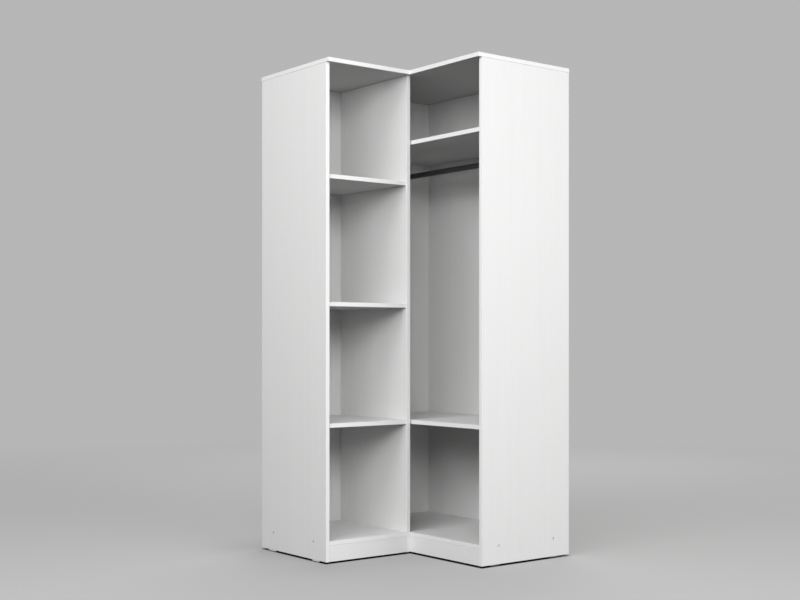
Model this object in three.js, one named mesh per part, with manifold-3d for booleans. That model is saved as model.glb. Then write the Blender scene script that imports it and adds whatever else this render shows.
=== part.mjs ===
import * as THREE from 'three';
import { mergeVertices } from 'three/addons/utils/BufferGeometryUtils.js';
import Module from 'manifold-3d';

// Open corner wardrobe of laminated board, an L in plan with its two fronts facing the room.
// Millimetres, +Z up. The left wing opens towards +X and holds three shelves.
// The right wing opens towards -Y and holds a hat shelf, a hanging rail and a low shelf.
// While it is laid out, X is 0 at the left wing's front and Y is 0 at the right wing's front;
// at the end the whole object is moved so that its origin is the middle of its footprint.

// Boards
const boardThickness = 18;
const backThickness = 3;
const edgeBevel = 0.8;
const backBevel = 0.3;
const seam = 0.2; // gap that a glued or screwed joint keeps

// Overall sizes
const overallHeight = 2102;
const wingDepth = 498; // front edge to the face that carries the back
const leftWingWidth = 446; // outer face of the left side to the right wing's front
const rightWingWidth = 470; // left wing's front to outer face of the right side

// Top, plinth and feet
const topFrontOverhang = 19;
const topLeftWingOverhang = 7; // behind the left wing, past wingDepth
const topRightWingOverhang = 4; // behind the right wing, past wingDepth
const plinthHeight = 68;
const glideHeight = 7;
const glideLength = 52;
const glideWidth = 8;
const glideInset = 80; // upright's edge to middle of a glide
const glideMargin = 1; // a glide of an outer side to that side's face on the left
const glideBevel = 1;

// Shelves, set by the clear heights of the bays below and above them
const lowBayHeight = 471; // bottom board to low shelves
const highBayHeight = 462; // left wing's high shelf to top
const hatBayHeight = 282; // hat shelf to top
const middleShelfShare = 0.4875; // way up from the low shelf to the high shelf
const shelfSetback = 7;
const shelfSideGap = 0.8;
const shelfRearGap = 1;

// Backs stop short of the bottoms' underside and of the room corner by backInset;
// each outer side covers their edge with a lip
const backInset = 2;
const rebateLip = 8;

// Shelf pins, hidden in the boards
const pinShankDiameter = 5;
const pinShankLength = 9;
const pinHeadDiameter = 8;
const pinHeadLength = 9;
const pinHeadRound = 1.2;
const pinInset = 60; // upright's edge to pin
const pinSides = 12;

// Screws of the carcass
const screwLength = 50;
const screwHeadDiameter = 10;
const screwHeadRim = 1;
const screwHeadCone = 2.5;
const screwNeckDiameter = 7;
const screwCoreDiameter = 5;
const screwTip = 2;
const screwSink = 0.3; // head below the board's face
const screwInset = 92; // upright's edge to screw
const hexAcrossCorners = 4.6;
const hexDepth = 3;
const screwSides = 12;

// Hanging rail and its cup sockets
const railDiameter = 25;
const railWall = 1.2;
const railDrop = 89; // hat shelf's underside to the rail's axis
const railEndGap = 1;
const railSides = 32;
const socketFlangeDiameter = 46;
const socketFlangeThickness = 3;
const socketCupWall = 2.2;
const socketCupDepth = 12;
const socketEdgeRound = 0.8;
const socketScrewCount = 3;
const socketScrewDiameter = 6.4;
const socketScrewDome = 1;
const socketScrewSides = 10;

// Clearances and cutting
const boreClearance = 0.3; // round a shank, a neck or the rail
const boreSpare = 3; // past the end of what a blind bore holds
const overrun = 2; // a cutter past the face that it enters

// Worked out from the sizes above
const half = 0.5;
const uprightHeight = overallHeight - glideHeight - boardThickness;
const uprightTop = glideHeight + uprightHeight;
const leftFrontX = 0;
const rightFrontY = 0;
const rearX = leftFrontX - wingDepth;
const rearY = rightFrontY + wingDepth;
const leftOuterY = rightFrontY - leftWingWidth;
const rightOuterX = leftFrontX + rightWingWidth;
const leftInnerY = leftOuterY + boardThickness;
const partitionRightY = rightFrontY - seam;
const partitionLeftY = partitionRightY - boardThickness;
const rightInnerX = rightOuterX - boardThickness;
const cornerInnerX = rearX + boardThickness;
const bottomUnderside = glideHeight + plinthHeight;
const lowShelfTop = bottomUnderside + boardThickness + lowBayHeight + boardThickness;
const highShelfTop = uprightTop - highBayHeight;
const middleShelfTop = lowShelfTop + middleShelfShare * (highShelfTop - lowShelfTop);
const hatShelfTop = uprightTop - hatBayHeight;
const leftBayWidth = partitionLeftY - leftInnerY;
const rightBayWidth = rightInnerX - cornerInnerX;
const shelfDepth = wingDepth - shelfSetback - shelfRearGap;
const rebateDepth = seam + backThickness;
const railAxisZ = hatShelfTop - boardThickness - railDrop;
const railAxisY = rightFrontY + wingDepth * half;
const quarterTurn = Math.PI * half;

const wasm = await Module();
wasm.setup();

const whiteBoard = () => new THREE.MeshStandardMaterial({ color: 0xf2f2f0, roughness: 0.5, metalness: 0 });
const whiteBack = () => new THREE.MeshStandardMaterial({ color: 0xe9e9e6, roughness: 0.6, metalness: 0 });
const darkTube = () => new THREE.MeshStandardMaterial({ color: 0x3a3b3d, roughness: 0.35, metalness: 0.9 });
const zincSteel = () => new THREE.MeshStandardMaterial({ color: 0xb9bcc0, roughness: 0.35, metalness: 1 });
const palePlastic = () => new THREE.MeshStandardMaterial({ color: 0xdedfdc, roughness: 0.55, metalness: 0 });

const wardrobe = new THREE.Group();

function addPiece(name, geometry, material) {
  const mesh = new THREE.Mesh(geometry, material);
  mesh.name = name;
  wardrobe.add(mesh);
  return mesh;
}

// Solids, for bores only

function toSolid(geometry) {
  const bare = geometry.clone();
  bare.deleteAttribute('normal');
  bare.deleteAttribute('uv');
  const merged = mergeVertices(bare);
  return new wasm.Manifold(new wasm.Mesh({
    numProp: 3,
    vertProperties: new Float32Array(merged.attributes.position.array),
    triVerts: new Uint32Array(merged.index.array),
  }));
}

function toGeometry(solid) {
  const mesh = solid.getMesh();
  const geometry = new THREE.BufferGeometry();
  geometry.setAttribute('position', new THREE.BufferAttribute(mesh.vertProperties, mesh.numProp));
  geometry.setIndex(new THREE.BufferAttribute(mesh.triVerts, 1));
  geometry.computeVertexNormals();
  return geometry;
}

function cutAway(geometry, cutters) {
  let solid = toSolid(geometry);
  for (const cutter of cutters) {
    solid = solid.subtract(toSolid(cutter));
  }
  return toGeometry(solid);
}

function joinOn(geometry, additions) {
  let solid = toSolid(geometry);
  for (const addition of additions) {
    solid = solid.add(toSolid(addition));
  }
  return toGeometry(solid);
}

// Boards: a flat outline with eased edges, lying from z = 0 to its thickness

function rectangle(width, height) {
  return new THREE.Shape([
    new THREE.Vector2(0, 0),
    new THREE.Vector2(width, 0),
    new THREE.Vector2(width, height),
    new THREE.Vector2(0, height),
  ]);
}

function board(outline, thickness, bevel) {
  const geometry = new THREE.ExtrudeGeometry(outline, {
    depth: thickness - 2 * bevel,
    bevelEnabled: true,
    bevelThickness: bevel,
    bevelSize: bevel,
    bevelOffset: -bevel,
    bevelSegments: 1,
    curveSegments: 6,
  });
  return geometry.translate(0, 0, bevel);
}

// Stands a board up with its outline's width along X or along Y

function standAlongX(mesh, x, rightFaceY, z) {
  mesh.rotation.set(quarterTurn, 0, 0);
  mesh.position.set(x, rightFaceY, z);
}

function standAlongY(mesh, leftFaceX, y, z) {
  mesh.rotation.set(0, quarterTurn, quarterTurn);
  mesh.position.set(leftFaceX, y, z);
}

// Bores through and into the boards

function blindBoreFromFace(x, y, face, diameter, depth) {
  const reach = depth + overrun;
  const cutter = new THREE.CylinderGeometry(diameter * half, diameter * half, reach, pinSides);
  cutter.rotateX(quarterTurn);
  const middle = face === 'low' ? depth - reach * half : boardThickness - depth + reach * half;
  return cutter.translate(x, y, middle);
}

function pinBores(face, shelfTops) {
  const cutters = [];
  for (const top of shelfTops) {
    for (const inset of [pinInset, wingDepth - pinInset]) {
      const height = pinAxisZ(top) - glideHeight - seam;
      const diameter = pinShankDiameter + 2 * boreClearance;
      const depth = pinShankLength + boreClearance;
      cutters.push(blindBoreFromFace(inset, height, face, diameter, depth));
    }
  }
  return cutters;
}

// A stepped bore that takes a screw's head and neck; its mouth is at y = 0 and it runs along -Y
function headBore() {
  const headRadius = screwHeadDiameter * half + boreClearance;
  const neckRadius = screwNeckDiameter * half + boreClearance;
  const rimEnd = -(screwSink + screwHeadRim + boreClearance);
  const coneEnd = rimEnd - screwHeadCone;
  const profile = [
    new THREE.Vector2(0, overrun),
    new THREE.Vector2(headRadius, overrun),
    new THREE.Vector2(headRadius, rimEnd),
    new THREE.Vector2(neckRadius, coneEnd),
    new THREE.Vector2(neckRadius, -boardThickness - overrun),
    new THREE.Vector2(0, -boardThickness - overrun),
  ];
  return new THREE.LatheGeometry(profile.reverse(), screwSides);
}

// A plain bore for a screw's core; its mouth is at y = 0 and it runs along -Y
function coreBore() {
  const depth = screwLength + screwSink - boardThickness + boreSpare;
  const radius = screwCoreDiameter * half + boreClearance;
  const reach = depth + overrun;
  const cutter = new THREE.CylinderGeometry(radius, radius, reach, screwSides);
  return cutter.translate(0, overrun - reach * half, 0);
}

function sideHeadBores() {
  const height = bottomUnderside + boardThickness * half - glideHeight;
  return [screwInset, wingDepth - screwInset].map((inset) => {
    const cutter = headBore().rotateX(quarterTurn);
    return cutter.translate(inset, height, boardThickness);
  });
}

// Blind bores in both ends of a shelf, for the heads of its pins
function shelfEndBores(length, places, along) {
  const depth = pinHeadLength - shelfSideGap + boreSpare;
  const reach = depth + overrun;
  const radius = pinHeadDiameter * half + boreClearance;
  const middles = [depth - reach * half, length - depth + reach * half];
  return places.flatMap((place) => middles.map((middle) => {
    const cutter = new THREE.CylinderGeometry(radius, radius, reach, pinSides);
    if (along === 'y') {
      return cutter.translate(place, middle, boardThickness * half);
    }
    return cutter.rotateZ(quarterTurn).translate(middle, place, boardThickness * half);
  }));
}

// Takes the inner part off a side's rear edge, from x = start on, where the back lies
function rebateCut(start) {
  const width = boardThickness - rebateLip;
  const depth = rebateDepth + overrun;
  const cutter = new THREE.BoxGeometry(depth, uprightHeight + 2 * overrun, width + overrun);
  return cutter.translate(start + depth * half, uprightHeight * half, (width - overrun) * half);
}

function topEdgeBores() {
  return [screwInset, wingDepth - screwInset].map((inset) => {
    return coreBore().translate(inset, uprightHeight, boardThickness * half);
  });
}

function pinAxisZ(shelfTop) {
  return shelfTop - boardThickness * half;
}

// Uprights

function addUprights() {
  const leftShelfTops = [lowShelfTop, middleShelfTop, highShelfTop];
  const rightShelfTops = [lowShelfTop, hatShelfTop];
  const height = uprightHeight - 2 * seam;
  const blank = () => board(rectangle(wingDepth, height), boardThickness, edgeBevel);
  const sideBlank = () => board(rectangle(wingDepth + rebateDepth, height), boardThickness, edgeBevel);
  const bottomZ = glideHeight + seam;

  const leftCuts = [...pinBores('low', leftShelfTops), ...sideHeadBores(), ...topEdgeBores()];
  leftCuts.push(rebateCut(-rebateDepth - overrun));
  const leftBlank = sideBlank().translate(-rebateDepth, 0, 0);
  const leftSide = addPiece('left_side_panel', cutAway(leftBlank, leftCuts), whiteBoard());
  standAlongX(leftSide, rearX, leftInnerY, bottomZ);

  const partitionCuts = [...pinBores('high', leftShelfTops), ...topEdgeBores()];
  const partition = addPiece('partition_panel', cutAway(blank(), partitionCuts), whiteBoard());
  standAlongX(partition, rearX, partitionRightY, bottomZ);

  const rightCuts = [...pinBores('low', rightShelfTops), ...sideHeadBores(), ...topEdgeBores()];
  rightCuts.push(rebateCut(wingDepth));
  const rightSide = addPiece('right_side_panel', cutAway(sideBlank(), rightCuts), whiteBoard());
  standAlongY(rightSide, rightInnerX, rightFrontY, bottomZ);

  const cornerCuts = [...pinBores('high', rightShelfTops), ...topEdgeBores()];
  const corner = addPiece('corner_end_panel', cutAway(blank(), cornerCuts), whiteBoard());
  standAlongY(corner, rearX, rightFrontY, bottomZ);
}

// Top: one L-shaped board that lies on all four uprights

function uprightScrewPlaces() {
  const places = [];
  for (const inset of [screwInset, wingDepth - screwInset]) {
    places.push([rearX + inset, leftInnerY - boardThickness * half, 'left_side']);
    places.push([rearX + inset, partitionRightY - boardThickness * half, 'partition']);
    places.push([rightInnerX + boardThickness * half, rightFrontY + inset, 'right_side']);
    places.push([rearX + boardThickness * half, rightFrontY + inset, 'corner_end']);
  }
  return places;
}

function addTop() {
  const backX = rearX - topLeftWingOverhang;
  const backY = rearY + topRightWingOverhang;
  const frontX = leftFrontX + topFrontOverhang;
  const frontY = rightFrontY - topFrontOverhang;
  const outline = new THREE.Shape([
    new THREE.Vector2(backX, leftOuterY),
    new THREE.Vector2(frontX, leftOuterY),
    new THREE.Vector2(frontX, frontY),
    new THREE.Vector2(rightOuterX, frontY),
    new THREE.Vector2(rightOuterX, backY),
    new THREE.Vector2(backX, backY),
  ]);
  const cutters = uprightScrewPlaces().map(([x, y]) => {
    return headBore().rotateX(quarterTurn).translate(x, y, boardThickness);
  });
  const bored = cutAway(board(outline, boardThickness, edgeBevel), cutters);
  const top = addPiece('top_panel', bored, whiteBoard());
  top.position.z = uprightTop;
}

// Bottoms and plinths

function addBottoms() {
  const leftWidth = leftBayWidth - 2 * seam;
  const leftBlank = board(rectangle(wingDepth, leftWidth), boardThickness, edgeBevel);
  const leftCuts = [screwInset, wingDepth - screwInset].map((inset) => {
    return coreBore().rotateZ(Math.PI).translate(inset, 0, boardThickness * half);
  });
  const left = addPiece('left_bottom_panel', cutAway(leftBlank, leftCuts), whiteBoard());
  left.position.set(rearX, leftInnerY + seam, bottomUnderside);

  const rightWidth = rightBayWidth - 2 * seam;
  const rightBlank = board(rectangle(rightWidth, wingDepth), boardThickness, edgeBevel);
  const rightCuts = [screwInset, wingDepth - screwInset].map((inset) => {
    return coreBore().rotateZ(-quarterTurn).translate(rightWidth, inset, boardThickness * half);
  });
  const right = addPiece('right_bottom_panel', cutAway(rightBlank, rightCuts), whiteBoard());
  right.position.set(cornerInnerX + seam, rightFrontY, bottomUnderside);

  const stripHeight = plinthHeight - 2 * seam;
  const leftStrip = board(rectangle(leftWidth, stripHeight), boardThickness, edgeBevel);
  const leftPlinth = addPiece('left_plinth', leftStrip, whiteBoard());
  standAlongY(leftPlinth, leftFrontX - boardThickness, leftInnerY + seam, glideHeight + seam);

  const rightStrip = board(rectangle(rightWidth, stripHeight), boardThickness, edgeBevel);
  const rightPlinth = addPiece('right_plinth', rightStrip, whiteBoard());
  standAlongX(rightPlinth, cornerInnerX + seam, rightFrontY + boardThickness, glideHeight + seam);
}

// Shelves, each on four pins in its ends

function addShelves() {
  const leftLength = leftBayWidth - 2 * shelfSideGap;
  const leftShelves = [
    ['left_low_shelf', lowShelfTop],
    ['left_middle_shelf', middleShelfTop],
    ['left_high_shelf', highShelfTop],
  ];
  const leftPlaces = [pinInset - shelfRearGap, wingDepth - pinInset - shelfRearGap];
  for (const [name, top] of leftShelves) {
    const blank = board(rectangle(shelfDepth, leftLength), boardThickness, edgeBevel);
    const bored = cutAway(blank, shelfEndBores(leftLength, leftPlaces, 'y'));
    const shelf = addPiece(name, bored, whiteBoard());
    shelf.position.set(rearX + shelfRearGap, leftInnerY + shelfSideGap, top - boardThickness);
  }
  const rightLength = rightBayWidth - 2 * shelfSideGap;
  const rightPlaces = [pinInset - shelfSetback, wingDepth - pinInset - shelfSetback];
  for (const [name, top] of [['right_low_shelf', lowShelfTop], ['hat_shelf', hatShelfTop]]) {
    const blank = board(rectangle(rightLength, shelfDepth), boardThickness, edgeBevel);
    const bored = cutAway(blank, shelfEndBores(rightLength, rightPlaces, 'x'));
    const shelf = addPiece(name, bored, whiteBoard());
    shelf.position.set(cornerInnerX + shelfSideGap, rightFrontY + shelfSetback, top - boardThickness);
  }
}

// Thin backs, let into the outer sides; the right one is in two sheets that meet behind the low shelf

function addBacks() {
  const low = bottomUnderside + backInset;
  const high = uprightTop - seam;
  const leftWidth = leftWingWidth - backInset - rebateLip - seam;
  const leftSheet = board(rectangle(leftWidth, high - low), backThickness, backBevel);
  const left = addPiece('left_back_sheet', leftSheet, whiteBack());
  standAlongY(left, rearX - rebateDepth, leftOuterY + rebateLip + seam, low);

  const rightWidth = rightOuterX - rearX - backInset - rebateLip - seam;
  const split = lowShelfTop - boardThickness * half;
  const rightSheets = [
    ['right_low_back_sheet', low, split],
    ['right_high_back_sheet', split + seam, high],
  ];
  for (const [name, from, to] of rightSheets) {
    const rightSheet = board(rectangle(rightWidth, to - from), backThickness, backBevel);
    const sheet = addPiece(name, rightSheet, whiteBack());
    standAlongX(sheet, rearX + backInset, rearY + rebateDepth, from);
  }
}

// Glides: flat skids with round ends, two under each upright

function glideGeometry() {
  const radius = glideWidth * half;
  const straight = (glideLength - glideWidth) * half;
  const outline = new THREE.Shape();
  outline.moveTo(-straight, -radius);
  outline.lineTo(straight, -radius);
  outline.absarc(straight, 0, radius, -quarterTurn, quarterTurn, false);
  outline.lineTo(-straight, radius);
  outline.absarc(-straight, 0, radius, quarterTurn, quarterTurn + Math.PI, false);
  return board(outline, glideHeight, glideBevel);
}

function addGlides() {
  const fromFace = glideMargin + glideWidth * half;
  const glideRows = [
    ['left_side', rearX, leftOuterY + fromFace, 'x'],
    ['partition', rearX, partitionRightY - boardThickness * half, 'x'],
    ['right_side', rightInnerX + fromFace, rightFrontY, 'y'],
    ['corner_end', rearX + boardThickness * half, rightFrontY, 'y'],
  ];
  for (const [owner, x, y, along] of glideRows) {
    [glideInset, wingDepth - glideInset].forEach((inset, index) => {
      const glide = addPiece(`${owner}_glide_${index + 1}`, glideGeometry(), palePlastic());
      if (along === 'x') {
        glide.position.set(x + inset, y, 0);
      } else {
        glide.rotation.z = quarterTurn;
        glide.position.set(x, y + inset, 0);
      }
    });
  }
}

// Shelf pins: a shank in the upright and a thicker head in the shelf's end, along +Y from the face

function pinGeometry() {
  const shank = pinShankDiameter * half;
  const head = pinHeadDiameter * half;
  const corner = head - pinHeadRound;
  const profile = [
    new THREE.Vector2(0, -pinShankLength),
    new THREE.Vector2(shank, -pinShankLength),
    new THREE.Vector2(shank, seam),
    new THREE.Vector2(head, seam),
    new THREE.Vector2(head, pinHeadLength - pinHeadRound),
    new THREE.Vector2(corner, pinHeadLength),
    new THREE.Vector2(0, pinHeadLength),
  ];
  return new THREE.LatheGeometry(profile, pinSides);
}

function addPins() {
  const leftShelves = [
    ['left_low', lowShelfTop],
    ['left_middle', middleShelfTop],
    ['left_high', highShelfTop],
  ];
  const rightShelves = [['right_low', lowShelfTop], ['hat', hatShelfTop]];
  const insets = [pinInset, wingDepth - pinInset];
  for (const [owner, top] of leftShelves) {
    insets.forEach((inset, index) => {
      const onSide = addPiece(`${owner}_shelf_pin_${index + 1}`, pinGeometry(), zincSteel());
      onSide.position.set(rearX + inset, leftInnerY, pinAxisZ(top));
      const onPartition = addPiece(`${owner}_shelf_pin_${index + 3}`, pinGeometry(), zincSteel());
      onPartition.rotation.z = Math.PI;
      onPartition.position.set(rearX + inset, partitionLeftY, pinAxisZ(top));
    });
  }
  for (const [owner, top] of rightShelves) {
    insets.forEach((inset, index) => {
      const onSide = addPiece(`${owner}_shelf_pin_${index + 1}`, pinGeometry(), zincSteel());
      onSide.rotation.z = quarterTurn;
      onSide.position.set(rightInnerX, rightFrontY + inset, pinAxisZ(top));
      const onCorner = addPiece(`${owner}_shelf_pin_${index + 3}`, pinGeometry(), zincSteel());
      onCorner.rotation.z = -quarterTurn;
      onCorner.position.set(cornerInnerX, rightFrontY + inset, pinAxisZ(top));
    });
  }
}

// Carcass screws: a sunk head with a hexagon socket, a neck and a core, along -Y from the face

function screwGeometry() {
  const head = screwHeadDiameter * half;
  const neck = screwNeckDiameter * half;
  const core = screwCoreDiameter * half;
  const top = -screwSink;
  const coneEnd = top - screwHeadRim - screwHeadCone;
  const end = top - screwLength;
  const profile = [
    new THREE.Vector2(0, end),
    new THREE.Vector2(core * half, end),
    new THREE.Vector2(core, end + screwTip),
    new THREE.Vector2(core, -boardThickness),
    new THREE.Vector2(neck, -boardThickness),
    new THREE.Vector2(neck, coneEnd),
    new THREE.Vector2(head, top - screwHeadRim),
    new THREE.Vector2(head, top),
    new THREE.Vector2(0, top),
  ];
  const blank = new THREE.LatheGeometry(profile, screwSides);
  const reach = hexDepth + overrun;
  const socket = new THREE.CylinderGeometry(hexAcrossCorners * half, hexAcrossCorners * half, reach, 6);
  return cutAway(blank, [socket.translate(0, top - hexDepth + reach * half, 0)]);
}

function addScrews() {
  const owners = {};
  for (const [x, y, owner] of uprightScrewPlaces()) {
    owners[owner] = (owners[owner] ?? 0) + 1;
    const screw = addPiece(`top_screw_${owner}_${owners[owner]}`, screwGeometry(), zincSteel());
    screw.rotation.x = quarterTurn;
    screw.position.set(x, y, overallHeight);
  }
  const height = bottomUnderside + boardThickness * half + seam;
  [screwInset, wingDepth - screwInset].forEach((inset, index) => {
    const left = addPiece(`bottom_screw_left_${index + 1}`, screwGeometry(), zincSteel());
    left.rotation.x = Math.PI;
    left.position.set(rearX + inset, leftOuterY, height);
    const right = addPiece(`bottom_screw_right_${index + 1}`, screwGeometry(), zincSteel());
    right.rotation.z = -quarterTurn;
    right.position.set(rightOuterX, rightFrontY + inset, height);
  });
}

// Hanging rail: a round tube whose ends lie in cups on the right side and the corner end

function railGeometry(length) {
  const outer = railDiameter * half;
  const inner = outer - railWall;
  const profile = [
    new THREE.Vector2(inner, 0),
    new THREE.Vector2(outer, 0),
    new THREE.Vector2(outer, length),
    new THREE.Vector2(inner, length),
    new THREE.Vector2(inner, 0),
  ];
  return new THREE.LatheGeometry(profile, railSides);
}

function socketScrewHead(angle, ringRadius) {
  const radius = socketScrewDiameter * half;
  const face = socketFlangeThickness;
  const profile = [
    new THREE.Vector2(0, face * half),
    new THREE.Vector2(radius, face * half),
    new THREE.Vector2(radius, face),
    new THREE.Vector2(radius * half, face + socketScrewDome),
    new THREE.Vector2(0, face + socketScrewDome),
  ];
  const head = new THREE.LatheGeometry(profile, socketScrewSides);
  return head.translate(ringRadius * Math.cos(angle), 0, ringRadius * Math.sin(angle));
}

function socketGeometry() {
  const flange = socketFlangeDiameter * half;
  const bore = railDiameter * half + boreClearance;
  const cup = bore + socketCupWall;
  const rim = socketFlangeThickness + socketCupDepth;
  const profile = [
    new THREE.Vector2(0, 0),
    new THREE.Vector2(flange, 0),
    new THREE.Vector2(flange, socketFlangeThickness - socketEdgeRound),
    new THREE.Vector2(flange - socketEdgeRound, socketFlangeThickness),
    new THREE.Vector2(cup, socketFlangeThickness),
    new THREE.Vector2(cup, rim - socketEdgeRound),
    new THREE.Vector2(cup - socketEdgeRound, rim),
    new THREE.Vector2(bore, rim),
    new THREE.Vector2(bore, socketFlangeThickness),
    new THREE.Vector2(0, socketFlangeThickness),
  ];
  const cupBody = new THREE.LatheGeometry(profile, railSides);
  const ringRadius = (flange + cup) * half;
  const heads = [];
  for (let index = 0; index < socketScrewCount; index += 1) {
    heads.push(socketScrewHead(quarterTurn + index * 2 * Math.PI / socketScrewCount, ringRadius));
  }
  return joinOn(cupBody, heads);
}

function addRail() {
  const endGap = seam + socketFlangeThickness + railEndGap;
  const length = rightBayWidth - 2 * endGap;
  const rail = addPiece('hanging_rail', railGeometry(length), darkTube());
  rail.rotation.z = -quarterTurn;
  rail.position.set(cornerInnerX + endGap, railAxisY, railAxisZ);

  const cornerSocket = addPiece('rail_socket_corner', socketGeometry(), darkTube());
  cornerSocket.rotation.z = -quarterTurn;
  cornerSocket.position.set(cornerInnerX + seam, railAxisY, railAxisZ);

  const rightSocket = addPiece('rail_socket_right', socketGeometry(), darkTube());
  rightSocket.rotation.z = quarterTurn;
  rightSocket.position.set(rightInnerX - seam, railAxisY, railAxisZ);
}

addUprights();
addTop();
addBottoms();
addShelves();
addBacks();
addGlides();
addPins();
addScrews();
addRail();

// Origin: middle of the footprint, on the floor
const middleX = (rightOuterX + rearX - topLeftWingOverhang) * half;
const middleY = (leftOuterY + rearY + topRightWingOverhang) * half;
wardrobe.position.set(-middleX, -middleY, 0);

export default wardrobe;
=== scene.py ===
import bpy
import bmesh
import math
from mathutils import Matrix, Vector


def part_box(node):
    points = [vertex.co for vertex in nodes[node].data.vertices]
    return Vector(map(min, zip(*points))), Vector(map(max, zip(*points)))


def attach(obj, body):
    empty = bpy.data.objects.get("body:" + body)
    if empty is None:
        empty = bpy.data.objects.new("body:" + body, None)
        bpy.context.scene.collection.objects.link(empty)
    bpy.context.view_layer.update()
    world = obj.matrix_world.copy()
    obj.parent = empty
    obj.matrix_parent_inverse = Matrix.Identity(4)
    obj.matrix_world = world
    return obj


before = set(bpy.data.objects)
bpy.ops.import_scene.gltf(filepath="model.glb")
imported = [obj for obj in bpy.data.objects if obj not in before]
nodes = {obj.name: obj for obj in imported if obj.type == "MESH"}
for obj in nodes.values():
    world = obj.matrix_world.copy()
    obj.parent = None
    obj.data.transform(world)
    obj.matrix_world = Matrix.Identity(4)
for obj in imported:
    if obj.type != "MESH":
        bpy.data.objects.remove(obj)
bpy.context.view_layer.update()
print("frame loaded:", len(nodes), "nodes")

alongX, alongY, alongZ = 0, 1, 2

# Sides are an axis and a sign; the wings' rears are where their back sheets hang
leftRear, rightRear = (alongX, -1.0), (alongY, 1.0)
underside, upperSide = (alongZ, -1.0), (alongZ, 1.0)

# Least part of a normal towards a side, for a face that looks that way, and for one that does so squarely
looksThatWay, looksSquarely = 0.5, 0.9


class Wire:
    # One output socket of a node tree; sums on it add Math nodes
    def __init__(self, maker, socket):
        self.maker = maker
        self.socket = socket

    def math(self, operation, first, second=0.0, clamped=False):
        settings = {"operation": operation, "use_clamp": clamped}
        return self.maker.add("ShaderNodeMath", settings, {0: first, 1: second})

    def __add__(self, other):
        return self.math("ADD", self, other)

    def __radd__(self, other):
        return self.math("ADD", other, self)

    def __sub__(self, other):
        return self.math("SUBTRACT", self, other)

    def __rsub__(self, other):
        return self.math("SUBTRACT", other, self)

    def __mul__(self, other):
        return self.math("MULTIPLY", self, other)

    def __rmul__(self, other):
        return self.math("MULTIPLY", other, self)

    def __truediv__(self, other):
        return self.math("DIVIDE", self, other)

    def __rtruediv__(self, other):
        return self.math("DIVIDE", other, self)

    def above(self, level):
        return self.math("GREATER_THAN", self, level)

    def size(self):
        return self.math("ABSOLUTE", self)

    def clamped(self):
        return self.math("ADD", self, 0.0, True)

    def larger(self, other):
        return self.math("MAXIMUM", self, other)

    def smaller(self, other):
        return self.math("MINIMUM", self, other)

    def root(self):
        return self.math("SQRT", self)


class Maker:
    # Adds nodes to one tree: settings first, then the values or links of their sockets
    def __init__(self, tree):
        self.tree = tree
        tree.nodes.clear()

    def add(self, kind, settings=None, inputs=None, output=0):
        node = self.tree.nodes.new(kind)
        for name, value in (settings or {}).items():
            if name == "stops":
                self.setStops(node.color_ramp, value)
            else:
                setattr(node, name, value)
        for name, value in (inputs or {}).items():
            self.feed(node.inputs[name], value)
        if len(node.outputs) == 0:
            return None
        return Wire(self, node.outputs[output])

    def feed(self, socket, value):
        if isinstance(value, Wire):
            self.tree.links.new(value.socket, socket)
        elif isinstance(value, tuple) and socket.type == "RGBA" and len(value) == 3:
            socket.default_value = (*value, 1.0)
        else:
            socket.default_value = value

    def setStops(self, ramp, stops):
        # A new ramp has two stops, which is all that these looks need
        for element, (place, level) in zip(ramp.elements, stops):
            element.position = place
            element.color = (level, level, level, 1.0)

    def mixColour(self, share, first, second):
        # The sockets are those of a Mix node's colour mode: factor, two colours and result
        settings = {"data_type": "RGBA"}
        return self.add("ShaderNodeMix", settings, {0: share, 6: first, 7: second}, 2)

    def place(self):
        return self.add("ShaderNodeTexCoord", output="Object")

    def part(self, vector, axis):
        return self.add("ShaderNodeSeparateXYZ", {}, {"Vector": vector}, axis)

    def normalPart(self, axis):
        normal = self.add("ShaderNodeNewGeometry", output="Normal")
        return self.part(normal, axis)

    def towards(self, side, least):
        # 1 on faces that look towards the side, by more than the least part of their normal
        axis, sign = side
        return (self.normalPart(axis) * sign).above(least)

    def drawnOut(self, vector, axis, across, along):
        # Scales a place so that the pattern on it runs along one axis
        scale = [across] * 3
        scale[axis] = along
        settings = {"operation": "MULTIPLY"}
        return self.add("ShaderNodeVectorMath", settings, {0: vector, 1: tuple(scale)})

    def noise(self, vector, scale, detail, roughness=0.5):
        inputs = {"Vector": vector, "Scale": scale, "Detail": detail, "Roughness": roughness}
        return self.add("ShaderNodeTexNoise", {}, inputs)

    def grain(self, vector, axis, across, along, detail, roughness=0.5):
        return self.noise(self.drawnOut(vector, axis, across, along), 1.0, detail, roughness)

    def rising(self, value, span):
        # 0 up to the first end of the span, 1 from its second end
        stops = [(span[0], 0.0), (span[1], 1.0)]
        return self.add("ShaderNodeValToRGB", {"stops": stops}, {"Fac": value})

    def bump(self, height, distance, strength, under=None):
        inputs = {"Height": height, "Distance": distance, "Strength": strength}
        if under is not None:
            inputs["Normal"] = under
        return self.add("ShaderNodeBump", {}, inputs)

    def surface(self, colour, roughness, normal, constants=None):
        inputs = {"Base Color": colour, "Roughness": roughness, "Normal": normal}
        inputs.update(constants or {})
        shader = self.add("ShaderNodeBsdfPrincipled", {}, inputs)
        self.add("ShaderNodeOutputMaterial", {}, {"Surface": shader})


def newMaterial(name):
    material = bpy.data.materials.new(name)
    material.use_nodes = True
    return material, Maker(material.node_tree)


# Bare chipboard on the sawn edges that no band covers
chipboard = {
    "light": (0.55, 0.41, 0.26),
    "dark": (0.25, 0.16, 0.085),
    "chips": {"across": 520.0, "along": 160.0},
    "chipShare": 0.65,
    "dust": {"scale": 900.0, "detail": 4.0, "roughness": 0.7},
    "dustShare": 0.6,
    "lighter": 0.1,
    "addedRoughness": 0.35,
    "chipBump": {"distance": 0.0004, "strength": 0.8},
}


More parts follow.
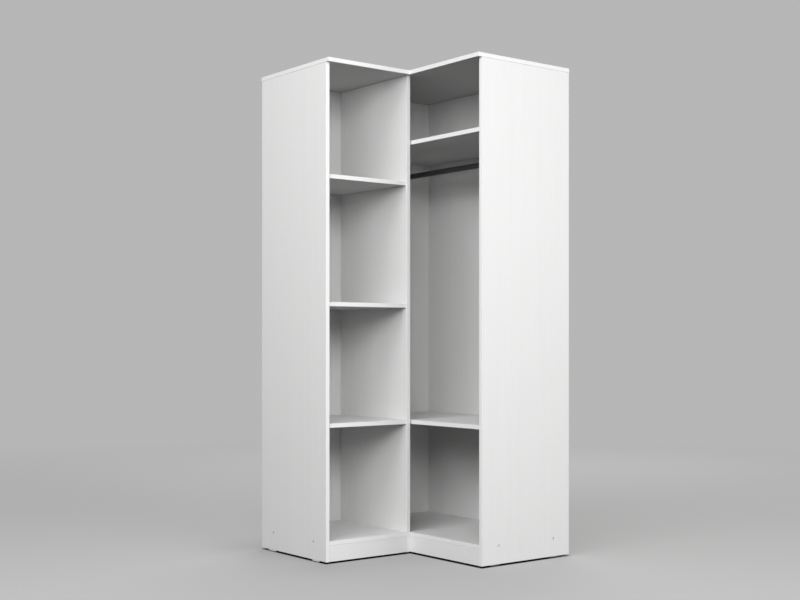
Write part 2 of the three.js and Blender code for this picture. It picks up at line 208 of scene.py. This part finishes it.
def chipboardLook(maker, place, grainAxis):
    look = chipboard
    drawnOut = maker.drawnOut(place, grainAxis, **look["chips"])
    chips = maker.add("ShaderNodeTexVoronoi", {}, {"Vector": drawnOut, "Scale": 1.0}).clamped()
    dust = maker.noise(place, **look["dust"])
    shade = (look["chipShare"] * chips + look["dustShare"] * dust - look["lighter"]).clamped()
    return maker.mixColour(shade, look["light"], look["dark"]), chips


# White laminate: satin, with a very fine print of wood pores along the board
laminate = {
    "face": (0.75, 0.75, 0.747),
    "pore": (0.69, 0.69, 0.687),
    "edge": (0.77, 0.77, 0.768),
    "glueLine": (0.60, 0.60, 0.59),
    # painted shade: the darker colour given to the undersides of the boards
    "underside": (0.50, 0.50, 0.497),
    "pores": {"across": 420.0, "along": 9.0, "detail": 4.0, "roughness": 0.6},
    "poreSpan": (0.50, 0.66),
    "poreShare": 0.35,
    "poreBump": {"distance": 0.00004, "strength": 0.6},
    "streaks": {"across": 34.0, "along": 0.7, "detail": 5.0, "roughness": 0.62},
    "streakSpan": (0.36, 0.66),
    "streakShare": 0.2,
    "clouds": {"scale": 2.6, "detail": 2.0},
    "cloudShare": 0.16,
    "rimFrom": 0.3,  # a rim's normal leans at least this much towards the face
    "glueShare": 0.25,
    "handling": {"scale": 14.0, "detail": 5.0, "roughness": 0.65},
    "handlingSpan": (0.45, 0.7),
    "handlingShare": 0.5,
    "smudges": {"scale": 5.0, "detail": 4.0, "roughness": 0.6},
    "smudgeSpan": (0.4, 0.75),
    "peel": {"scale": 190.0, "detail": 2.0},
    "peelBump": {"distance": 0.00003, "strength": 0.5},
    "roughness": 0.5,
    "poreRoughness": 0.08,
    "smudgeRoughness": 0.07,
    "edgeSmoothness": 0.06,
    "gloss": 0.25,
}


def printedFace(maker, place, grainAxis):
    look = laminate
    fine = maker.grain(place, grainAxis, **look["pores"])
    pores = maker.rising(fine, look["poreSpan"])
    streaks = maker.rising(maker.grain(place, grainAxis, **look["streaks"]), look["streakSpan"])
    clouds = maker.noise(place, **look["clouds"])
    tone = look["poreShare"] * pores + look["streakShare"] * streaks + look["cloudShare"] * clouds
    colour = maker.mixColour(tone.clamped(), look["face"], look["pore"])

    # Undersides are painted darker and greyer than the sides in view: painted shade under the boards
    colour = maker.mixColour(maker.towards(underside, looksThatWay), colour, look["underside"])
    return colour, fine, pores


def bandedEdges(maker, place, thicknessAxis, faceColour):
    # Banded edges are plain; between band and face runs a fine glue line, darker where it was handled
    look = laminate
    acrossFace = maker.normalPart(thicknessAxis).size()
    onEdge = 1.0 - acrossFace.above(looksThatWay)
    onRim = acrossFace.above(look["rimFrom"]) * (1.0 - acrossFace.above(looksSquarely))
    handled = maker.rising(maker.noise(place, **look["handling"]), look["handlingSpan"])
    glue = onRim * (look["glueShare"] + look["handlingShare"] * handled)
    colour = maker.mixColour(onEdge, faceColour, look["edge"])
    return maker.mixColour(glue, colour, look["glueLine"]), onEdge


def laminateMaterial(name, grainAxis, thicknessAxis, rawSides):
    look = laminate
    material, maker = newMaterial(name)
    place = maker.place()
    colour, fine, pores = printedFace(maker, place, grainAxis)
    colour, onEdge = bandedEdges(maker, place, thicknessAxis, colour)
    smudges = maker.rising(maker.noise(place, **look["smudges"]), look["smudgeSpan"])
    roughness = look["roughness"] + look["poreRoughness"] * fine + look["smudgeRoughness"] * smudges
    roughness = roughness - look["edgeSmoothness"] * onEdge
    normal = maker.bump(maker.noise(place, **look["peel"]), **look["peelBump"])
    normal = maker.bump((1.0 - pores) * (1.0 - onEdge), **look["poreBump"], under=normal)

    # Sides that stay bare show the chipboard
    rawColour, chips = chipboardLook(maker, place, grainAxis)
    isRaw = 0.0
    for side in rawSides:
        isRaw = maker.towards(side, looksSquarely) + isRaw
    colour = maker.mixColour(isRaw, colour, rawColour)
    roughness = roughness + chipboard["addedRoughness"] * isRaw
    normal = maker.bump(chips * isRaw, **chipboard["chipBump"], under=normal)
    maker.surface(colour, roughness, normal, {"Specular IOR Level": look["gloss"]})
    return material


# Hardboard backs: white lacquer inside, bare pressed fibre towards the wall
hardboard = {
    "white": (0.72, 0.72, 0.717),
    "whiteLow": (0.68, 0.68, 0.677),
    "streaks": {"across": 34.0, "along": 0.7, "detail": 5.0, "roughness": 0.62},
    "streakSpan": (0.36, 0.66),
    "streakShare": 0.5,
    "fine": {"scale": 700.0, "detail": 4.0, "roughness": 0.7},
    "fineShare": 0.3,
    "fineBump": {"distance": 0.00003, "strength": 0.4},
    "fibre": (0.37, 0.235, 0.13),
    "fibreDark": (0.215, 0.13, 0.066),
    "strands": {"across": 900.0, "along": 405.0, "detail": 6.0, "roughness": 0.75},
    "strandShare": 0.7,
    "clouds": {"scale": 5.0, "detail": 4.0, "roughness": 0.6},
    "cloudShare": 0.7,
    "lighter": 0.2,
    "screenPitch": 0.0025,
    "screenDistortion": 0.4,
    "fibreBump": {"distance": 0.0003, "strength": 0.7},
    "fibreRoughness": 0.82,
    "lacquerSmoothness": 0.3,
    "cloudRoughness": 0.1,
    "gloss": 0.25,
}


def levelAxis(rear):
    # The level axis along a wing's rear
    return alongY if rear[0] == alongX else alongX


def screenPrint(maker, place, rear):
    # The wire screen of the press leaves a fine square print on the bare side
    radiansPerScale = 20.0  # what a wave texture of scale 1 turns through in a metre
    scale = math.tau / (radiansPerScale * hardboard["screenPitch"])
    inputs = {"Vector": place, "Scale": scale, "Distortion": hardboard["screenDistortion"]}
    wires = []
    for axis in (alongZ, levelAxis(rear)):
        settings = {"wave_type": "BANDS", "bands_direction": "XYZ"[axis]}
        wires.append(maker.add("ShaderNodeTexWave", settings, inputs, "Fac"))
    return wires[0] * wires[1]


def hardboardMaterial(name, rear):
    look = hardboard
    material, maker = newMaterial(name)
    place = maker.place()
    clouds = maker.noise(place, **look["clouds"])
    fine = maker.noise(place, **look["fine"])
    streaks = maker.rising(maker.grain(place, alongZ, **look["streaks"]), look["streakSpan"])
    whiteTone = look["streakShare"] * streaks + look["fineShare"] * fine
    white = maker.mixColour(whiteTone, look["white"], look["whiteLow"])
    strands = maker.grain(place, alongZ, **look["strands"])
    mottle = (look["strandShare"] * strands + look["cloudShare"] * clouds - look["lighter"]).clamped()
    fibre = maker.mixColour(mottle, look["fibre"], look["fibreDark"])
    rearAxis, rearSign = rear
    inside = maker.towards((rearAxis, -rearSign), looksThatWay)
    colour = maker.mixColour(inside, fibre, white)
    roughness = look["fibreRoughness"] - look["lacquerSmoothness"] * inside
    roughness = roughness + look["cloudRoughness"] * clouds
    screen = screenPrint(maker, place, rear)
    normal = maker.bump((screen + strands) * (1.0 - inside), **look["fibreBump"])
    normal = maker.bump(fine, **look["fineBump"], under=normal)
    maker.surface(colour, roughness, normal, {"Specular IOR Level": look["gloss"]})
    return material


# Dark coated steel of the hanging rail, rubbed by the hooks of hangers
railCoat = {
    "colour": (0.040, 0.041, 0.044),
    "worn": (0.075, 0.077, 0.082),
    "metal": 0.25,
    "rub": {"across": 60.0, "along": 2.0, "detail": 4.0, "roughness": 0.6},
    "rubSpan": (0.58, 0.74),
    "wornShare": 0.45,
    "peel": {"scale": 420.0, "detail": 2.0},
    "peelBump": {"distance": 0.00008, "strength": 0.5},
    "roughness": 0.36,
    "wornRoughness": 0.14,
}


def railMaterial():
    look = railCoat
    material, maker = newMaterial("coatedSteelDark")
    place = maker.place()
    scuffs = maker.rising(maker.grain(place, alongX, **look["rub"]), look["rubSpan"])
    colour = maker.mixColour(look["wornShare"] * scuffs, look["colour"], look["worn"])
    roughness = look["roughness"] + look["wornRoughness"] * scuffs
    normal = maker.bump(maker.noise(place, **look["peel"]), **look["peelBump"])
    maker.surface(colour, roughness, normal, {"Metallic": look["metal"]})
    return material


# Moulded plastics: dark for the rail sockets, pale for the strip on the backs
plastics = {
    "dark": {"colour": (0.045, 0.046, 0.049), "low": (0.030, 0.031, 0.033), "roughness": 0.5},
    "pale": {"colour": (0.66, 0.66, 0.64), "low": (0.56, 0.56, 0.54), "roughness": 0.45},
    "spark": {"scale": 1500.0, "detail": 3.0, "roughness": 0.6},
    "sparkShare": 0.3,
    "sparkRoughness": 0.12,
    "sparkBump": {"distance": 0.00005, "strength": 0.6},
    "clouds": {"scale": 60.0, "detail": 2.0},
    "cloudShare": 0.6,
}


def plasticMaterial(name, kind):
    look = plastics
    plastic = look[kind]
    material, maker = newMaterial(name)
    place = maker.place()
    spark = maker.noise(place, **look["spark"])
    clouds = maker.noise(place, **look["clouds"])
    tone = (look["cloudShare"] * clouds + look["sparkShare"] * spark).clamped()
    colour = maker.mixColour(tone, plastic["colour"], plastic["low"])
    roughness = plastic["roughness"] + look["sparkRoughness"] * spark
    normal = maker.bump(spark, **look["sparkBump"])
    maker.surface(colour, roughness, normal)
    return material


# Glides: a pale plastic body whose lowest millimetres are painted dark, as painted shade where they meet
# the floor, with a fibre bump like felt
glides = {
    "body": (0.78, 0.78, 0.77),
    "bodyLow": (0.72, 0.72, 0.71),
    "spark": {"scale": 1500.0, "detail": 3.0, "roughness": 0.6},
    "sparkBump": {"distance": 0.00005, "strength": 0.6},
    # painted shade: the dark colours of the glides' lowest millimetres
    "paintedShadeSole": (0.040, 0.040, 0.041),
    "paintedShadeSoleLight": (0.085, 0.085, 0.087),
    "soleHeight": 0.003,
    "fibres": {"across": 2600.0, "along": 6500.0, "detail": 4.0, "roughness": 0.75},
    "fibreBump": {"distance": 0.0003, "strength": 0.9},
    "roughness": 0.45,
    "sparkRoughness": 0.1,
    "soleRoughness": 0.4,
}


def glideMaterial():
    look = glides
    material, maker = newMaterial("glidePlasticShadeSole")
    place = maker.place()
    # Below the sole height the colour is painted dark: painted shade at the floor
    isPaintedShadeSole = 1.0 - maker.part(place, alongZ).above(look["soleHeight"])
    spark = maker.noise(place, **look["spark"])
    fibres = maker.grain(place, alongZ, **look["fibres"])
    body = maker.mixColour(spark, look["body"], look["bodyLow"])
    paintedShadeSole = maker.mixColour(fibres, look["paintedShadeSole"], look["paintedShadeSoleLight"])
    colour = maker.mixColour(isPaintedShadeSole, body, paintedShadeSole)
    roughness = look["roughness"] + look["sparkRoughness"] * spark + look["soleRoughness"] * isPaintedShadeSole
    normal = maker.bump(spark, **look["sparkBump"])
    normal = maker.bump(fibres * isPaintedShadeSole, **look["fibreBump"], under=normal)
    maker.surface(colour, roughness, normal)
    return material


# Zinc plated steel of the screws, nails and shelf pins
zinc = {
    "colour": (0.66, 0.67, 0.69),
    "dull": (0.50, 0.51, 0.54),
    "metal": 0.8,
    "spangle": {"scale": 900.0, "detail": 3.0, "roughness": 0.6},
    "spangleShare": 0.8,
    "spangleBump": {"distance": 0.00002, "strength": 0.5},
    "scratches": {"across": 2400.0, "along": 300.0, "detail": 2.0},
    "roughness": 0.34,
    "spangleRoughness": 0.18,
    "scratchRoughness": 0.06,
}


def zincMaterial(name):
    look = zinc
    material, maker = newMaterial(name)
    place = maker.place()
    spangle = maker.noise(place, **look["spangle"])
    scratches = maker.grain(place, alongX, **look["scratches"])
    colour = maker.mixColour((look["spangleShare"] * spangle).clamped(), look["colour"], look["dull"])
    roughness = look["roughness"] + look["spangleRoughness"] * spangle
    roughness = roughness + look["scratchRoughness"] * scratches
    normal = maker.bump(spangle, **look["spangleBump"])
    maker.surface(colour, roughness, normal, {"Metallic": look["metal"]})
    return material


def dress(nodeName, material):
    piece = nodes[nodeName]
    piece.data.materials.clear()
    piece.data.materials.append(material)


# Which way each board's grain runs, which way it is thin, and its bare sides
boards = {
    "left_side_panel": (alongZ, alongY, (leftRear, underside, upperSide)),
    "partition_panel": (alongZ, alongY, (leftRear, underside, upperSide)),
    "right_side_panel": (alongZ, alongX, (rightRear, underside, upperSide)),
    "corner_end_panel": (alongZ, alongX, (rightRear, underside, upperSide)),
    "top_panel": (alongX, alongZ, (leftRear, rightRear)),
    "left_bottom_panel": (alongY, alongZ, (leftRear,)),
    "right_bottom_panel": (alongX, alongZ, (rightRear,)),
    "left_plinth": (alongY, alongX, (underside,)),
    "right_plinth": (alongX, alongY, (underside,)),
    "left_low_shelf": (alongY, alongZ, (leftRear,)),
    "left_middle_shelf": (alongY, alongZ, (leftRear,)),
    "left_high_shelf": (alongY, alongZ, (leftRear,)),
    "right_low_shelf": (alongX, alongZ, (rightRear,)),
    "hat_shelf": (alongX, alongZ, (rightRear,)),
}


def dressBoards():
    made = {}
    for nodeName, board in boards.items():
        if board not in made:
            made[board] = laminateMaterial(f"whiteLaminate{len(made) + 1}", *board)
        dress(nodeName, made[board])
    dress("left_back_sheet", hardboardMaterial("hardboardLeft", leftRear))
    rightBack = hardboardMaterial("hardboardRight", rightRear)
    dress("right_low_back_sheet", rightBack)
    dress("right_high_back_sheet", rightBack)


def dressHardware():
    steel = zincMaterial("zincPlatedSteel")
    glide = glideMaterial()
    for nodeName in nodes:
        if "_shelf_pin_" in nodeName or "_screw_" in nodeName:
            dress(nodeName, steel)
        if "_glide_" in nodeName:
            dress(nodeName, glide)
    dress("hanging_rail", railMaterial())
    dark = plasticMaterial("darkPlastic", "dark")
    dress("rail_socket_corner", dark)
    dress("rail_socket_right", dark)


def turned(shape, profile, sides, turn):
    # Turns (radius, height) points round Z, then moves the rings by the matrix
    rings = []
    for radius, height in profile:
        if radius == 0.0:
            rings.append([shape.verts.new(turn @ Vector((0.0, 0.0, height)))])
            continue
        ring = []
        for index in range(sides):
            angle = math.tau * index / sides
            point = Vector((radius * math.cos(angle), radius * math.sin(angle), height))
            ring.append(shape.verts.new(turn @ point))
        rings.append(ring)
    for low, high in zip(rings, rings[1:]):
        for index in range(sides):
            after = (index + 1) % sides
            corners = [low[index % len(low)], low[after % len(low)]]
            corners += [high[after % len(high)], high[index % len(high)]]
            shape.faces.new(list(dict.fromkeys(corners)))


def facing(place, direction):
    # A matrix that puts Z along the direction, at the place
    turn = Vector(direction).to_track_quat("Z", "Y").to_matrix().to_4x4()
    return Matrix.Translation(Vector(place)) @ turn


def addPiece(name, shape, material):
    bmesh.ops.recalc_face_normals(shape, faces=shape.faces)
    mesh = bpy.data.meshes.new(name)
    shape.to_mesh(mesh)
    shape.free()
    mesh.materials.append(material)
    piece = bpy.data.objects.new(name, mesh)
    bpy.context.scene.collection.objects.link(piece)
    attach(piece, "root")


# Nails that hold the backs on the boards' rear edges
nails = {
    "headRadius": 0.0032,
    "headHeight": 0.0007,
    "rimHeight": 0.0003,
    "domeRadiusShare": 0.72,
    "domeHeightShare": 0.85,
    "sides": 14,
    "spacing": 0.15,
    "fromSide": 0.0052,
    "fromCorner": 0.009,
    "fromBottom": 0.009,
    "fromEnds": 0.03,
}


def evenly(first, last, spacing):
    count = max(1, round((last - first) / spacing))
    return [first + (last - first) * index / count for index in range(count + 1)]


def nailSpots(low, high, rear, bottomRow):
    # Places (across, up) in a column by each upright and, where asked for, in a row at the bottom
    insets = (nails["fromSide"], nails["fromCorner"])
    firstInset, lastInset = insets if rear == leftRear else insets[::-1]
    acrossAxis = levelAxis(rear)
    columns = (low[acrossAxis] + firstInset, high[acrossAxis] - lastInset)
    ends, spacing = nails["fromEnds"], nails["spacing"]
    heights = evenly(low[alongZ] + ends, high[alongZ] - ends, spacing)
    spots = [(across, up) for across in columns for up in heights]
    if bottomRow:
        row = low[alongZ] + nails["fromBottom"]
        spots += [(across, row) for across in evenly(columns[0] + ends, columns[1] - ends, spacing)]
    return spots


def addNails(name, sheetName, rear, steel, bottomRow):
    low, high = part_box(sheetName)
    rearAxis, rearSign = rear
    rearFace = high[rearAxis] if rearSign > 0.0 else low[rearAxis]
    radius, height, rim = nails["headRadius"], nails["headHeight"], nails["rimHeight"]
    dome = (radius * nails["domeRadiusShare"], height * nails["domeHeightShare"])
    profile = [(0.0, -rim), (radius, -rim), (radius, rim), dome, (0.0, height)]
    shape = bmesh.new()
    for across, up in nailSpots(low, high, rear, bottomRow):
        place, direction = [0.0, 0.0, up], [0.0, 0.0, 0.0]
        place[levelAxis(rear)], place[rearAxis] = across, rearFace
        direction[rearAxis] = rearSign
        turned(shape, profile, nails["sides"], facing(place, direction))
    addPiece(name, shape, steel)


# Flat strip that covers the joint between the two right back sheets, outside
jointStrip = {
    "width": 0.026,
    "thickness": 0.0007,
    "crown": 0.0003,
    "flatShare": 0.8,
    "endGap": 0.004,
}


def addJointStrip(plastic):
    low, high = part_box("right_high_back_sheet")
    half, top = jointStrip["width"] / 2.0, jointStrip["thickness"]
    lip, flat = top - jointStrip["crown"], half * jointStrip["flatShare"]
    section = [(-half, 0.0), (-half, lip), (-flat, top), (flat, top), (half, lip), (half, 0.0)]
    rear, joint = high[alongY], low[alongZ]
    shape = bmesh.new()
    ends = []
    for x in (low[alongX] + jointStrip["endGap"], high[alongX] - jointStrip["endGap"]):
        ends.append([shape.verts.new((x, rear + out, joint + up)) for up, out in section])
    count = len(section)
    for index in range(count):
        after = (index + 1) % count
        shape.faces.new([ends[0][index], ends[0][after], ends[1][after], ends[1][index]])
    shape.faces.new(ends[0])
    shape.faces.new(ends[1][::-1])
    addPiece("backJointStrip", shape, plastic)


# Cross-headed screws of the rail's sockets
socketScrews = {
    "count": 3,
    "ringRadius": 0.019,
    "flange": 0.003,
    "headRadius": 0.0036,
    "height": 0.0016,
    "rimHeight": 0.0006,
    "shoulderRadiusShare": 0.86,
    "shoulderHeightShare": 0.78,
    "crownShare": 0.66,
    "sides": 24,
    "armLength": 0.0019,
    "armWidth": 0.0005,
    "recess": 0.0009,
    "recessFloorShare": 0.8,
}


def crossOutline(arm, wide, top):
    # The twelve corners of a cross, anticlockwise
    quarterTurn = math.pi / 2.0
    outline = []
    for quarter in range(4):
        spin = Matrix.Rotation(quarter * quarterTurn, 4, "Z")
        corners = ((arm, -wide, top), (arm, wide, top), (wide, wide, top))
        outline += [spin @ Vector(corner) for corner in corners]
    return outline


def crossHead(shape, turn):
    look = socketScrews
    radius, top = look["headRadius"], look["height"]
    shoulder = (radius * look["shoulderRadiusShare"], top * look["shoulderHeightShare"])
    crown = radius * look["crownShare"]
    profile = [(radius, 0.0), (radius, look["rimHeight"]), shoulder, (crown, top)]
    turned(shape, profile, look["sides"], turn)

    # The crown is closed round a cross that tapers to its floor
    outline = crossOutline(look["armLength"], look["armWidth"], top)
    share, depth = look["recessFloorShare"], look["recess"]
    rim, floor = [], []
    for point in outline:
        angle = math.atan2(point.y, point.x)
        rim.append(Vector((crown * math.cos(angle), crown * math.sin(angle), top)))
        floor.append(Vector((point.x * share, point.y * share, top - depth)))
    outer = [shape.verts.new(turn @ point) for point in rim]
    inner = [shape.verts.new(turn @ point) for point in outline]
    lowest = [shape.verts.new(turn @ point) for point in floor]
    count = len(outline)
    for index in range(count):
        after = (index + 1) % count
        shape.faces.new([outer[index], outer[after], inner[after], inner[index]])
        shape.faces.new([inner[index], inner[after], lowest[after], lowest[index]])
    shape.faces.new(lowest)


def addSocketScrews(steel):
    firstAngle = math.pi / 2.0  # one screw stands straight above the rail
    for socketName, side in (("rail_socket_corner", 1.0), ("rail_socket_right", -1.0)):
        low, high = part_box(socketName)
        wall = low[alongX] if side > 0.0 else high[alongX]
        middleY = (low[alongY] + high[alongY]) / 2.0
        middleZ = (low[alongZ] + high[alongZ]) / 2.0
        shape = bmesh.new()
        for index in range(socketScrews["count"]):
            angle = firstAngle + index * math.tau / socketScrews["count"]
            across = socketScrews["ringRadius"] * math.cos(angle)
            up = socketScrews["ringRadius"] * math.sin(angle)
            place = (wall + side * socketScrews["flange"], middleY + across, middleZ + up)
            crossHead(shape, facing(place, (side, 0.0, 0.0)))
        addPiece(socketName.replace("rail_socket", "socketScrews"), shape, steel)


# Round pieces shade smoothly, except at edges that turn by more than the sharp angle, in degrees
smoothing = {
    "pieces": ("hanging_rail", "rail_socket_corner", "rail_socket_right"),
    "sharpAngle": 33.0,
}


def smoothTurned():
    group = bpy.data.node_groups.new("smoothTurned", "GeometryNodeTree")
    group.interface.new_socket("Geometry", in_out="INPUT", socket_type="NodeSocketGeometry")
    group.interface.new_socket("Geometry", in_out="OUTPUT", socket_type="NodeSocketGeometry")
    start = group.nodes.new("NodeGroupInput")
    end = group.nodes.new("NodeGroupOutput")
    faces = group.nodes.new("GeometryNodeSetShadeSmooth")
    edges = group.nodes.new("GeometryNodeSetShadeSmooth")
    edges.domain = "EDGE"
    edges.inputs["Shade Smooth"].default_value = False
    angle = group.nodes.new("GeometryNodeInputMeshEdgeAngle")
    sharp = group.nodes.new("FunctionNodeCompare")
    sharp.inputs["B"].default_value = math.radians(smoothing["sharpAngle"])
    group.links.new(start.outputs[0], faces.inputs["Geometry"])
    group.links.new(faces.outputs[0], edges.inputs["Geometry"])
    group.links.new(angle.outputs["Unsigned Angle"], sharp.inputs["A"])
    group.links.new(sharp.outputs[0], edges.inputs["Selection"])
    group.links.new(edges.outputs[0], end.inputs[0])
    for nodeName in smoothing["pieces"]:
        modifier = nodes[nodeName].modifiers.new("smoothTurned", "NODES")
        modifier.node_group = group


def addExtras():
    steel = zincMaterial("zincPlatedFixings")
    addNails("backNailsLeft", "left_back_sheet", leftRear, steel, bottomRow=True)
    addNails("backNailsRightLow", "right_low_back_sheet", rightRear, steel, bottomRow=True)
    addNails("backNailsRightHigh", "right_high_back_sheet", rightRear, steel, bottomRow=False)
    addJointStrip(plasticMaterial("stripPlastic", "pale"))
    addSocketScrews(steel)
    smoothTurned()


# The camera stands level in front of the inner corner, 0.92 m above the floor
camera = {
    "place": (4.3333, -3.4544, 0.9195),
    "tilt": 90.0,  # degrees up from straight down
    "heading": 52.018,  # degrees from +Y towards -X
    "sensor": 36.0,
    "lens": 56.826,
    "shiftUp": 0.05322,
    "farthest": 200.0,
}


def makeCamera():
    data = bpy.data.cameras.new("photoCamera")
    data.sensor_width = camera["sensor"]
    data.lens = camera["lens"]
    data.shift_y = camera["shiftUp"]
    data.clip_end = camera["farthest"]
    piece = bpy.data.objects.new("photoCamera", data)
    bpy.context.scene.collection.objects.link(piece)
    piece.location = camera["place"]
    piece.rotation_euler = (math.radians(camera["tilt"]), 0.0, math.radians(camera["heading"]))
    bpy.context.scene.camera = piece


# Soft boxes round the part, with their power in watts; all point at its middle
lampAim = (0.0, 0.0, 1.0)
lamps = {
    "keyLamp": {"place": (3.82, -3.82, 2.7), "width": 3.2, "height": 2.0, "power": 198.0},
    "rightLamp": {"place": (5.40, 0.19, 2.9), "width": 2.6, "height": 1.8, "power": 121.0},
    "leftLamp": {"place": (1.21, -5.26, 4.1), "width": 2.8, "height": 2.3, "power": 182.0},
    "lowLamp": {"place": (4.93, 2.20, 1.5), "width": 2.0, "height": 1.4, "power": 57.0},
    "rearLamp": {"place": (-4.0, 4.2, 3.4), "width": 4.4, "height": 1.8, "power": 230.0},
}


def makeLamp(name):
    lamp = lamps[name]
    data = bpy.data.lights.new(name, "AREA")
    data.shape = "RECTANGLE"
    data.size = lamp["width"]
    data.size_y = lamp["height"]
    data.energy = lamp["power"]
    piece = bpy.data.objects.new(name, data)
    bpy.context.scene.collection.objects.link(piece)
    piece.location = lamp["place"]
    aim = Vector(lampAim) - Vector(lamp["place"])
    piece.rotation_euler = aim.to_track_quat("-Z", "Y").to_euler()


# The plain backdrop that is seen, and the dimmer world that lights the part
studio = {
    "worldColour": (1.0, 1.0, 1.0),
    "worldStrength": 0.14,
    "backdrop": (0.47, 0.47, 0.47),
}


def seenDirectly(maker):
    fromCamera = maker.add("ShaderNodeLightPath", output="Is Camera Ray")
    glossy = maker.add("ShaderNodeLightPath", output="Is Glossy Ray")
    through = maker.add("ShaderNodeLightPath", output="Is Transmission Ray")
    return (fromCamera + glossy + through).clamped()


def makeWorld():
    world = bpy.data.worlds.new("studio")
    bpy.context.scene.world = world
    world.use_nodes = True
    maker = Maker(world.node_tree)
    light = {"Color": studio["worldColour"], "Strength": studio["worldStrength"]}
    lit = maker.add("ShaderNodeBackground", {}, light)
    seen = maker.add("ShaderNodeBackground", {}, {"Color": studio["backdrop"]})
    both = maker.add("ShaderNodeMixShader", {}, {0: seenDirectly(maker), 1: lit, 2: seen})
    maker.add("ShaderNodeOutputWorld", {}, {"Surface": both})


# Floor: part matt surface that takes shadows, part even glow that fades into the backdrop; both carry
# painted shade round the part's foot
floorLook = {
    "radius": 60.0,
    "segments": 96,
    "seen": (0.50, 0.50, 0.50),
    "bounce": (0.04, 0.04, 0.04),  # what it throws back on the part
    "speckle": {"scale": 40.0, "detail": 3.0},
    "speckleShare": 0.1,
    "roughness": 0.9,
    "gloss": 0.1,
    "evenness": 0.5,
    "fadeStart": 2.2,
    "fadeEnd": 6.5,
    # painted shade on the floor: below the wings, near their backs, beside the left one and in a line
    # round them
    "underneath": 0.99,
    "underOverrun": 0.0005,
    "rearOpening": 0.09,
    "rearShade": 0.8,
    "contact": 0.16,
    "contactReach": 0.45,
    "contactLine": 0.6,
    "contactLineReach": 0.012,
}


def planDistance(maker, place, low, high):
    # How far a point is from a rectangle on the floor; 0 within it
    squares = 0.0
    for axis in (alongX, alongY):
        along = maker.part(place, axis)
        over = (low[axis] - along).larger(along - high[axis]).larger(0.0)
        squares = over * over + squares
    return squares.root()


def footShade(maker, place):
    # Painted shade on the floor: dark below the wings, a fine dark line round them and a soft shade
    # beside the left one
    look = floorLook
    leftSide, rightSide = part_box("left_side_panel"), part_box("right_side_panel")
    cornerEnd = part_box("corner_end_panel")
    rearX, rearY = cornerEnd[0][alongX], cornerEnd[1][alongY]
    leftWing = planDistance(maker, place, leftSide[0], (leftSide[1][alongX], rearY))
    rightWing = planDistance(maker, place, (rearX, rightSide[0][alongY]), rightSide[1])
    distance = leftWing.smaller(rightWing)
    under = look["underneath"] * (1.0 - distance.above(look["underOverrun"]))
    fade = (1.0 - leftWing / look["contactReach"]).clamped()
    line = look["contactLine"] * (1.0 - distance / look["contactLineReach"]).clamped()

    # The painted shade below the wings is lighter near the backs, which stop short of the floor, as if
    # some light got in there
    inward = (maker.part(place, alongX) - rearX).smaller(rearY - maker.part(place, alongY))
    deeper = (inward / look["rearOpening"]).clamped()
    rearShade = look["rearShade"] + (1.0 - look["rearShade"]) * deeper
    return (under * rearShade).larger(look["contact"] * fade * fade).larger(line)


def floorMaterial():
    look = floorLook
    material, maker = newMaterial("studioFloor")
    place = maker.place()
    distance = maker.add("ShaderNodeVectorMath", {"operation": "LENGTH"}, {0: place}, "Value")
    far = ((distance - look["fadeStart"]) / (look["fadeEnd"] - look["fadeStart"])).clamped()
    evenness = look["evenness"] + (1.0 - look["evenness"]) * far
    shade = footShade(maker, place)
    isSeen = seenDirectly(maker)
    black = (0.0, 0.0, 0.0)
    speckle = maker.noise(place, **look["speckle"])
    seen = maker.mixColour(look["speckleShare"] * speckle, look["seen"], studio["backdrop"])
    seen = maker.mixColour(shade, seen, black)
    colour = maker.mixColour(isSeen, look["bounce"], seen)
    inputs = {"Base Color": colour, "Roughness": look["roughness"], "Specular IOR Level": look["gloss"]}
    matt = maker.add("ShaderNodeBsdfPrincipled", {}, inputs)
    glowColour = maker.mixColour(shade, studio["backdrop"], black)
    glow = maker.add("ShaderNodeEmission", {}, {"Color": glowColour})
    both = maker.add("ShaderNodeMixShader", {}, {0: evenness * isSeen, 1: matt, 2: glow})
    maker.add("ShaderNodeOutputMaterial", {}, {"Surface": both})
    return material


def makeFloor():
    mesh = bpy.data.meshes.new("studioFloor")
    shape = bmesh.new()
    segments, radius = floorLook["segments"], floorLook["radius"]
    bmesh.ops.create_circle(shape, cap_ends=True, segments=segments, radius=radius)
    shape.to_mesh(mesh)
    shape.free()
    floor = bpy.data.objects.new("studioFloor", mesh)
    bpy.context.scene.collection.objects.link(floor)
    mesh.materials.append(floorMaterial())


makeCamera()
dressBoards()
dressHardware()
print("materials set")
addExtras()
print("extra pieces set")
makeWorld()
makeFloor()
for lampName in lamps:
    makeLamp(lampName)
bpy.context.scene.view_settings.view_transform = "Standard"
print("studio set")
